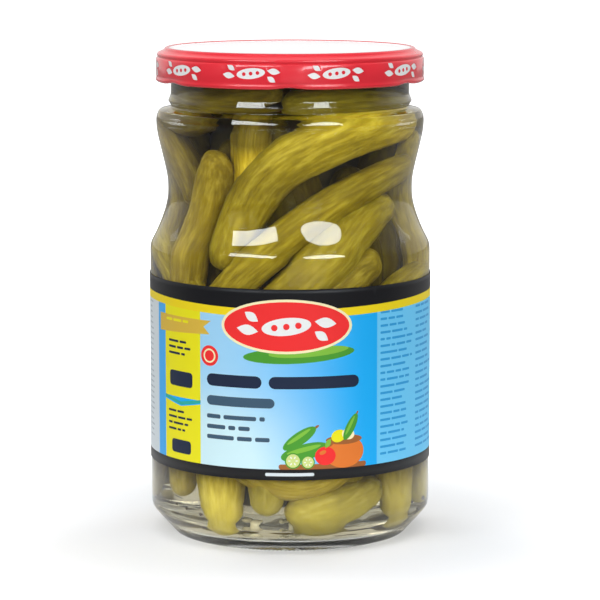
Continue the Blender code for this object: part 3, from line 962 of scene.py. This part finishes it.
def make_cap(material):
    top = [(0.0, PANEL_Z), (CROWN_R - 12.0, PANEL_Z), (CROWN_R - 3.2, PANEL_Z)]
    rim_foot = (CROWN_R - 2.2, PANEL_Z)
    top += rounded_corner((CROWN_R - 12.0, PANEL_Z), rim_foot, (CROWN_R - 1.6, CAP_TOP_Z), 0.6, 3)
    top += arc(CROWN_R, CAP_TOP_Z - CROWN_ROUND, CROWN_ROUND, 135, 10, 9)
    top += arc(STEP_R, CAP_TOP_Z - 2.3, 0.8, 80, -20, 7)
    top += [(SKIRT_R - 0.5, SKIRT_TOP_Z + 0.45), (SKIRT_R - 0.15, SKIRT_TOP_Z + 0.15), (SKIRT_R, SKIRT_TOP_Z)]
    curl_r = SKIRT_R + 0.15 - CURL_ROUND
    low = [(SKIRT_R, PRINT_LOW_Z)]
    low += arc(curl_r, CURL_Z, CURL_ROUND, 45, -150, 12)
    inner_r = SKIRT_R - CAP_SHEET
    low += [(inner_r, CURL_Z + 1.1), (inner_r, CAP_UNDERSIDE_Z - 2.4), (CROWN_R + 1.4, CAP_UNDERSIDE_Z - 0.3)]
    low += [(CROWN_R - 2.0, CAP_UNDERSIDE_Z), (0.0, CAP_UNDERSIDE_Z)]
    verts, faces = turned_mesh(top, CAP_SIDES)
    colours = []
    for face in faces:
        radius = max((verts[corner].xy.length / MM) for corner in face)
        if radius < CROWN_R - 0.6:
            colour = CAP_WHITE
        elif radius < CROWN_R + 0.75:
            colour = CAP_RIM
        else:
            colour = CAP_RED
        colours += [colour] * len(face)
    low_verts, low_faces = turned_mesh(low, CAP_SIDES, lug_lift)
    faces += [[corner + len(verts) for corner in face] for face in low_faces]
    colours += [CAP_RED] * sum(len(face) for face in low_faces)
    verts += low_verts
    half = math.pi * SKIRT_R
    shapes = cap_motifs()
    points, strip, covering = cut_sheet(-half, half, PRINT_LOW_Z, SKIRT_TOP_Z, shapes, CAP_SIDES, 1)
    start = len(verts)
    verts += [on_axis(math.degrees(u / SKIRT_R), SKIRT_R, v) for u, v in points]
    for face, shape in zip(strip, covering):
        colour = shapes[shape][0] if shape >= 0 else CAP_RED
        faces.append([corner + start for corner in face])
        colours += [colour] * len(face)
    obj = link_mesh("cap", verts, faces, [material], 60)
    set_ink(obj.data, colours)
    weld(obj, 0.01)
    return obj


def weld(obj, within):
    """Joins the points where separately made stretches meet."""
    bm = bmesh.new()
    bm.from_mesh(obj.data)
    bmesh.ops.remove_doubles(bm, verts=bm.verts, dist=within * MM)
    bmesh.ops.recalc_face_normals(bm, faces=bm.faces)
    bm.to_mesh(obj.data)
    bm.free()


# The label

INK_BLUE = (0.008, 0.43, 0.95)
INK_GLOW = (0.62, 0.86, 0.93)
INK_BLACK = (0.006, 0.006, 0.008)
INK_YELLOW = (0.90, 0.70, 0.01)
INK_LIME = (0.86, 0.80, 0.01)
INK_RED = (0.90, 0.03, 0.03)
INK_CREAM = (0.95, 0.86, 0.52)
INK_GREEN = (0.07, 0.33, 0.03)
INK_LEAF = (0.22, 0.52, 0.05)
INK_NAVY = (0.012, 0.022, 0.055)
INK_SLATE = (0.05, 0.10, 0.16)
INK_PANEL = (0.16, 0.62, 0.97)
INK_PANEL_PRINT = (0.03, 0.34, 0.74)
INK_PALE = (0.68, 0.75, 0.79)
INK_PALE_PRINT = (0.42, 0.49, 0.54)
INK_STRIP = (0.06, 0.42, 0.90)
INK_TEAL = (0.03, 0.42, 0.36)
INK_GOLD = (0.72, 0.48, 0.06)
INK_ORANGE = (0.78, 0.20, 0.03)
INK_WOOD = (0.36, 0.12, 0.03)
INK_FLESH = (0.62, 0.72, 0.25)
INK_WHITE = (0.86, 0.88, 0.88)

ARC_LOW_V = 75.8
ARC_RISE = 1.5
YELLOW_LINE = 2.5
FOOT_BAND_V = 26.5


def arc_v(u):
    """The lower edge of the dark top band, which bows down at the front and at the back."""
    return ARC_LOW_V + ARC_RISE * math.sin(u / LABEL_R) ** 2


def arc_band(left, right, below, above):
    """A band that follows the top band's edge, from one drop below it to another."""
    count = 72
    low = [(left + (right - left) * i / count) for i in range(count + 1)]
    points = [(u, arc_v(u) - below) for u in low]
    points += [(u, arc_v(u) - above) for u in reversed(low)]
    return points


def glow(u, v):
    """The pale light behind the front picture, which fades into the blue."""
    across = min(max((u + 26) / 52, 0.0), 1.0)
    up = min(max((v - 26) / 34, 0.0), 1.0)
    share = (1 - ease(across)) * (1 - 0.55 * ease(up))
    share = min(1.0, share * 1.25)
    return tuple(a + (b - a) * share for a, b in zip(INK_BLUE, INK_GLOW))


def slice_shapes(u, v, radius):
    """A round slice of cucumber with its rind, flesh and seeds."""
    flesh = radius * 0.84
    shapes = [(INK_GREEN, oval_shape(u, v, radius, radius)), (INK_FLESH, oval_shape(u, v, flesh, flesh))]
    for i in range(6):
        angle = math.tau * i / 6
        seed_u, seed_v = u + radius * 0.45 * math.cos(angle), v + radius * 0.45 * math.sin(angle)
        seed = oval_shape(seed_u, seed_v, radius * 0.17, radius * 0.07, math.degrees(angle), 10)
        shapes.append((INK_WHITE, seed))
    return shapes


def whole_cucumber(u, v, length, half, turn):
    """A whole cucumber with a light stripe and a stalk."""
    angle = math.radians(turn)
    tip_u, tip_v = u + length * 0.52 * math.cos(angle), v + length * 0.52 * math.sin(angle)
    return [
        (INK_WOOD, oval_shape(tip_u, tip_v, half * 0.5, half * 0.2, turn, 10)),
        (INK_GREEN, oval_shape(u, v, length / 2, half, turn)),
        (INK_LEAF, oval_shape(u - half * 0.1, v + half * 0.3, length * 0.36, half * 0.3, turn)),
    ]


def leaf_shape(u, v, length, half, turn):
    """A pointed leaf."""
    angle = math.radians(turn)
    count = 8
    points = []
    for side in (1, -1):
        for i in range(count):
            share = i / count if side == 1 else 1 - i / count
            across = side * half * math.sin(math.pi * share)
            along = length * share
            points.append(
                (
                    u + along * math.cos(angle) - across * math.sin(angle),
                    v + along * math.sin(angle) + across * math.cos(angle),
                )
            )
    return points[::-1]


def pod_emblem(u, v, size, ink, ground):
    """A pod with three seeds between two pairs of leaves. Its size is half the pod's length."""
    shapes = [(ink, oval_shape(u, v, size, size * 0.36, 6, 36))]
    for place in (-0.48, 0.0, 0.48):
        seed = oval_shape(u + place * size, v + place * size * 0.1, size * 0.13, size * 0.13, 0, 14)
        shapes.append((ground, seed))
    for side in (-1, 1):
        for lift, length, half, turn in ((0.21, 0.90, 0.21, -8), (-0.20, 0.66, 0.18, -34)):
            stem_u, stem_v = u + side * size * 1.14, v + side * size * lift
            leaf_turn = turn if side == 1 else turn + 180
            shapes.append((ink, leaf_shape(stem_u, stem_v, size * length, size * half, leaf_turn)))
    return shapes


def front_plaque():
    """A long oval plaque with a cream edge and the emblem, over a green ground."""
    middle_u, middle_v = -1.0, 70.6
    shapes = [
        (INK_GREEN, oval_shape(middle_u + 4, 61.9, 17.5, 2.6, 3)),
        (INK_LEAF, oval_shape(middle_u + 7, 62.8, 12.5, 1.5, 4)),
        (INK_CREAM, oval_shape(middle_u, middle_v, 20.6, 8.4, 0, 48)),
        (INK_RED, oval_shape(middle_u, middle_v, 19.7, 7.6, 0, 48)),
    ]
    return shapes + pod_emblem(middle_u, middle_v, 7.6, INK_WHITE, INK_RED)


def still_life(left):
    """Cucumbers, slices, a bowl and a red pepper on a board."""
    base = FOOT_BAND_V
    return [
        (INK_WOOD, box_shape(left, base, left + 28, base + 1.6, 0.7)),
        (INK_ORANGE, oval_shape(left + 20.5, base + 5.0, 6.6, 5.0)),
        (INK_WOOD, oval_shape(left + 20.5, base + 8.8, 6.0, 1.5)),
        (INK_LIME, oval_shape(left + 18.6, base + 10.0, 2.4, 1.9, 20)),
        (INK_CREAM, oval_shape(left + 21.8, base + 10.4, 2.1, 1.7, -15)),
        *whole_cucumber(left + 22.6, base + 12.6, 9.0, 1.5, 62),
        *whole_cucumber(left + 8.0, base + 5.4, 15.0, 2.5, 14),
        *whole_cucumber(left + 6.4, base + 9.6, 12.0, 2.0, 34),
        (INK_RED, oval_shape(left + 14.4, base + 4.0, 3.3, 2.9)),
        (INK_ORANGE, oval_shape(left + 13.6, base + 5.1, 1.1, 0.6, 20, 12)),
        (INK_LEAF, leaf_shape(left + 14.4, base + 6.4, 3.4, 0.8, 60)),
        *slice_shapes(left + 4.4, base + 2.7, 2.5),
        *slice_shapes(left + 9.0, base + 2.2, 2.1),
    ]


def front_shapes(draw):
    """The front of the label, left to right: pale panel, strip, yellow tabs, plaque, picture, print."""
    top, base = 80.5, FOOT_BAND_V
    tab_line = [(-46.7, 45.4), (-38.1, 43.9), (-29.5, 45.4), (-29.5, 46.4), (-38.1, 44.9), (-46.7, 46.4)]
    return [
        (INK_PALE, box_shape(-88.0, base, -51.8, top)),
        (INK_STRIP, box_shape(-51.8, base, -46.7, top)),
        (INK_LIME, box_shape(-46.7, 46.2, -29.5, top)),
        (INK_TEAL, tab_line),
        (INK_LIME, [(-46.7, base), (-29.5, base), (-29.5, 45.0), (-38.1, 43.5), (-46.7, 45.0)]),
        (glow, box_shape(-29.5, base, 26.5, top)),
        (INK_PANEL, box_shape(28.7, base, 66.0, top)),
        (INK_STRIP, box_shape(66.0, base, 69.5, top)),
        (INK_GOLD, [(-50.2, 66.0), (-26.0, 67.2), (-28.2, 69.4), (-25.4, 71.4), (-50.2, 71.6)]),
        *word_rows(INK_LIME, -46.0, -30.5, 67.6, 70.6, 2.2, 0.8, draw, 6),
        *word_rows(INK_NAVY, -44.5, -32.0, 58.0, 64.0, 1.9, 0.75, draw, 6),
        (INK_NAVY, box_shape(-44.0, 49.6, -32.8, 54.4, 1.2)),
        *word_rows(INK_NAVY, -44.8, -31.8, 35.0, 42.0, 1.9, 0.7, draw, 6),
        (INK_NAVY, box_shape(-43.0, 28.6, -33.6, 32.8, 1.1)),
        *(shape for column in (-86.0, -78.4, -70.6, -62.6)
          for shape in word_rows(INK_PALE_PRINT, column, column + 6.2, 30.0, 74.0, 1.7, 0.55, draw, 4)),
        *still_life(-3.4),
        (INK_NAVY, box_shape(-27.0, 51.4, -8.6, 55.2, 1.9)),
        (INK_NAVY, box_shape(-6.4, 51.4, 22.0, 55.2, 1.9)),
        (INK_SLATE, box_shape(-27.0, 45.4, -4.6, 48.4, 1.5)),
        *word_rows(INK_SLATE, -27.0, -6.0, 34.0, 42.6, 3.2, 1.3, draw, 11),
        (INK_RED, oval_shape(-26.0, 60.6, 3.2, 3.2)),
        (INK_CREAM, oval_shape(-26.0, 60.6, 2.2, 2.2)),
        (INK_RED, oval_shape(-26.0, 60.6, 1.7, 1.7)),
        *word_rows(INK_PANEL_PRINT, 30.0, 45.6, 29.0, 74.0, 2.1, 0.75, draw, 8),
        *word_rows(INK_PANEL_PRINT, 47.6, 64.4, 29.0, 74.0, 2.1, 0.75, draw, 8),
    ]


def back_shapes(draw):
    """The back of the label: a panel with a table, slices on a pale ground, and columns of print."""
    base = FOOT_BAND_V
    left = 74.0
    shapes = [(INK_GLOW, box_shape(left, 30.0, left + 30.0, 72.0, 2.0))]
    for row in range(9):
        v = 69.6 - row * 4.4
        shapes.append((INK_SLATE, box_shape(left + 2.0, v - 1.0, left + 8.0 + draw.uniform(2, 8), v, 0.4)))
        shapes.append((INK_SLATE, box_shape(left + 22.0, v - 1.0, left + 27.6, v, 0.4)))
        shapes.append((INK_STRIP, box_shape(left + 1.6, v - 2.4, left + 28.4, v - 2.15)))
    for index, (u, v) in enumerate(((112, 34), (119, 37), (126, 33.4), (132, 38), (115.6, 42), (129, 44))):
        shapes += slice_shapes(u, v, 3.4 - 0.2 * (index % 3))
    shapes += whole_cucumber(121.5, 50.0, 19.0, 3.0, 22)
    shapes.append((INK_LEAF, leaf_shape(112.0, 54.0, 7.0, 1.8, 100)))
    shapes.append((INK_LIME, box_shape(-136.0, base, -122.0, 60.0)))
    shapes += word_rows(INK_NAVY, -134.4, -123.6, 30.0, 57.6, 2.4, 0.8, draw, 6)
    shapes.append((INK_PANEL, box_shape(-120.0, base, -90.0, 73.0)))
    for column in (-118.8, -104.2):
        shapes += word_rows(INK_PANEL_PRINT, column, column + 13.0, 29.0, 71.4, 2.1, 0.75, draw, 8)
    return shapes


def label_shapes():
    """Every field of the label, in the order it is laid down."""
    draw = random.Random(SEED + 3)
    half = math.pi * LABEL_R
    shapes = front_shapes(draw) + back_shapes(draw)
    shapes.append((INK_BLACK, box_shape(-half, LABEL_LOW_Z - PRINT_LIFT, half, FOOT_BAND_V)))
    top_band = arc_band(-half, half, 0.0, -12.0)
    shapes.append((INK_YELLOW, arc_band(-half, half, YELLOW_LINE, 0.0)))
    shapes.append((INK_BLACK, top_band))
    shapes += front_plaque()
    shapes.append((INK_PALE, box_shape(-7.5, 24.4, 7.5, 25.4, 0.4)))
    return [(ink, [(u, v + PRINT_LIFT) for u, v in outline]) for ink, outline in shapes]


def make_label(material):
    """The printed paper, cut into fields, wrapped round the jar and lapped over itself at the back."""
    shapes = label_shapes()
    half = math.pi * LABEL_R
    points, cut_faces, covering = cut_sheet(
        -half, half, LABEL_LOW_Z, LABEL_HIGH_Z, shapes, LABEL_COLUMNS, LABEL_ROWS
    )
    verts, faces, colours = [], [], []
    for u, v in points:
        to_seam = half - u
        lift = 0.0
        if to_seam < LABEL_OVERLAP:
            lift = LABEL_THICK * ease(1 - to_seam / LABEL_OVERLAP)
        azimuth = math.degrees(u / LABEL_R)
        verts.append(on_axis(azimuth, LABEL_R + LABEL_THICK + lift, v))
    for face, shape in zip(cut_faces, covering):
        ink = shapes[shape][0] if shape >= 0 else INK_BLUE
        faces.append(list(face))
        for corner in face:
            colours.append(ink(points[corner].x, points[corner].y - PRINT_LIFT) if callable(ink) else ink)
    obj = link_mesh("label_paper", verts, faces, [material], 60)
    set_ink(obj.data, colours)
    solid = obj.modifiers.new("paper", "SOLIDIFY")
    solid.thickness = LABEL_THICK * MM
    solid.offset = -1
    return obj


# Small things in the brine


def make_specks(material):
    """Peppercorn-dark seeds and pale scraps of garlic that have sunk in the brine."""
    draw = random.Random(SEED + 4)
    verts, faces, colours = [], [], []
    places = [(-57, 11.6, 0.6), (-50, 10.9, 0.6), (-42, 9.6, 0.7)]
    places += [(draw.uniform(70, 280), draw.uniform(5.2, 10), draw.uniform(0.6, 1.0)) for _ in range(14)]
    dark = (0.05, 0.03, 0.012)
    pale = (0.55, 0.50, 0.33)
    for azimuth, z, radius in places:
        centre = on_axis(azimuth, inner_radius(max(z, 6.0)) - radius - 0.6, z + radius)
        add_blob(verts, faces, colours, centre, radius, dark, draw)
    for _ in range(9):
        centre = on_axis(draw.uniform(-28, 4), draw.uniform(22, 30), draw.uniform(6.6, 7.4))
        add_blob(verts, faces, colours, centre, draw.uniform(0.9, 1.5), pale, draw)
    obj = link_mesh("spice_specks", verts, faces, [material], 180)
    set_ink(obj.data, colours)
    return obj


def add_blob(verts, faces, colours, centre, radius, colour, draw):
    """A small uneven rounded lump."""
    bm = bmesh.new()
    bmesh.ops.create_icosphere(bm, subdivisions=2, radius=radius * MM)
    squeeze = Vector((draw.uniform(0.7, 1.2), draw.uniform(0.7, 1.2), draw.uniform(0.55, 0.9)))
    start = len(verts)
    for vert in bm.verts:
        verts.append(centre + vert.co * squeeze * (1 + draw.uniform(-0.08, 0.08)))
    for face in bm.faces:
        faces.append([vert.index + start for vert in face.verts])
        colours.extend([colour] * len(face.verts))
    bm.free()


# Studio


def make_floor():
    """A pale floor, which glows into a white ground away from the jar and bounces light only near it."""
    material, tree, shader = new_material("studio_floor")
    path = add_node(tree, "LightPath").outputs
    place = add_node(tree, "TexCoord").outputs["Object"]
    distance = add_node(tree, "VectorMath", "LENGTH", _0=place).outputs["Value"]
    depth = add_node(tree, "SeparateXYZ", Vector=place).outputs["Y"]
    bounce = map_range(tree, distance, FLOOR_BOUNCE_REACH, (FLOOR_BOUNCE_NEAR, FLOOR_BOUNCE_FAR), smooth=True)
    paint = map_range(tree, path["Is Camera Ray"], (0, 1), (bounce, FLOOR_SEEN))
    away = map_range(tree, distance, FLOOR_GLOW_REACH, (FLOOR_GLOW_NEAR, FLOOR_GLOW_FAR), smooth=True)
    ground = map_range(tree, depth, FLOOR_MIRRORED_REACH, (FLOOR_MIRRORED_FRONT, FLOOR_MIRRORED_BACK))
    mirrored = add_node(tree, "Math", "MULTIPLY", _0=path["Is Glossy Ray"], _1=ground).outputs["Value"]
    shown = add_node(tree, "Math", "ADD", _0=path["Is Camera Ray"], _1=mirrored).outputs["Value"]
    seen = add_node(tree, "Math", "MULTIPLY", _0=away, _1=shown).outputs["Value"]
    through = path["Is Transmission Ray"]
    lit = add_node(tree, "Math", "MULTIPLY_ADD", _0=through, _1=FLOOR_THROUGH_GLASS, _2=seen).outputs["Value"]
    feed(tree, shader, Roughness=0.9, Base_Color=paint, Emission_Color=(1, 1, 1, 1), Emission_Strength=lit)
    verts = [on_axis(360 * k / FLOOR_SIDES, FLOOR_R, 0) for k in range(FLOOR_SIDES)]
    floor = link_mesh("studio_floor", verts, [list(range(FLOOR_SIDES))], [material])


def add_area_light(name, azimuth, elevation, distance, width, height, power, shape="RECTANGLE"):
    """An area light that faces the middle of the jar."""
    data = bpy.data.lights.new(name, "AREA")
    data.shape = shape
    data.size = width * MM
    data.size_y = height * MM
    data.energy = power
    light = bpy.data.objects.new(name, data)
    bpy.context.scene.collection.objects.link(light)
    angle, rise = math.radians(azimuth), math.radians(elevation)
    away = Vector((math.sin(angle) * math.cos(rise), -math.cos(angle) * math.cos(rise), math.sin(rise)))
    light.location = Vector((0, 0, LIGHT_TARGET_Z * MM)) + away * distance * MM
    light.rotation_euler = away.to_track_quat("Z", "Y").to_euler()
    light.visible_camera = False
    return light


def make_lights():
    for name, row in SOFTBOXES.items():
        softbox = add_area_light(name, *row)
        softbox.visible_diffuse = False
        softbox.data.color = SOFTBOX_COLOUR
    for name, row in FILLS.items():
        add_area_light(name, *row).visible_glossy = False


def make_world():
    """White surroundings, whose strength depends on what kind of ray meets them."""
    world = bpy.data.worlds.new("studio_air")
    world.use_nodes = True
    tree = world.node_tree
    path = add_node(tree, "LightPath").outputs
    direction = add_node(tree, "TexCoord").outputs["Generated"]
    backwards = add_node(tree, "SeparateXYZ", Vector=direction).outputs["Y"]
    mirrored = map_range(tree, backwards, WORLD_MIRRORED_TURN, (WORLD_MIRRORED_FRONT, WORLD_MIRRORED_BACK))
    rays = (("Is Glossy Ray", mirrored), ("Is Transmission Ray", WORLD_BEHIND), ("Is Camera Ray", 1.0))
    strength = WORLD_LIGHT
    for ray, value in rays:
        strength = map_range(tree, path[ray], (0, 1), (strength, value))
    feed(tree, tree.nodes["Background"], Color=(1, 1, 1, 1), Strength=strength)
    bpy.context.scene.world = world


def make_camera():
    data = bpy.data.cameras.new("photo_camera")
    data.sensor_width = 36
    data.lens = CAMERA_LENS
    camera = bpy.data.objects.new("photo_camera", data)
    camera.location = Vector((CAMERA_SIDE, -CAMERA_DISTANCE, CAMERA_HEIGHT)) * MM
    camera.rotation_euler = (math.radians(90 - CAMERA_PITCH), 0, 0)
    bpy.context.scene.collection.objects.link(camera)
    bpy.context.scene.camera = camera


def set_view():
    scene = bpy.context.scene
    scene.view_settings.view_transform = "Standard"
    scene.cycles.max_bounces = 16
    scene.cycles.transmission_bounces = 16
    scene.cycles.transparent_max_bounces = 24


def corners(box):
    return [list(corner) for corner in box]


def main():
    make_camera()
    set_view()
    make_world()
    make_floor()
    make_lights()
    pickle_skin = pickle_material()
    glasses = [
        clear_material("clear_jar_glass", GLASS_COLOUR, GLASS_IOR, 1.0),
        clear_material("wet_jar_glass", GLASS_COLOUR, GLASS_IOR, WET_GLASS_MIRROR),
    ]
    pieces = [
        (make_jar(glasses), "glass_jar", "glass"),
        (make_cap(printed_material("lacquered_cap", 0.22, 0.5, 900)), "lid", "cap_lacquer"),
        (make_label(printed_material("printed_label", 0.45, 0.0, 2500)), "label", "label_print"),
        (make_brine(brine_material()), None, "glass"),
        (make_core(core_material()), None, "pickle_flesh"),
        (make_specks(speck_material()), None, "pickle_flesh"),
    ]
    layers = (
        ("pickles_front", FRONT_PICKLES, PICKLE_SIDES, PICKLE_STEPS),
        ("pickles_back", back_pickles(), PICKLE_SIDES, PICKLE_STEPS),
        ("pickles_inner", inner_pickles(), INNER_SIDES, INNER_STEPS),
    )
    for index, (name, rows, sides, steps) in enumerate(layers):
        made = make_pickles(name, rows, pickle_skin, sides, steps, PICKLE_CAP_RINGS, SEED + 10 + index)
        pieces.append((made, "pickles" if index == 0 else None, "pickle_flesh"))
    for piece, node, slot in pieces:
        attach(piece, "root")
        if node:
            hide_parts(node)


main()
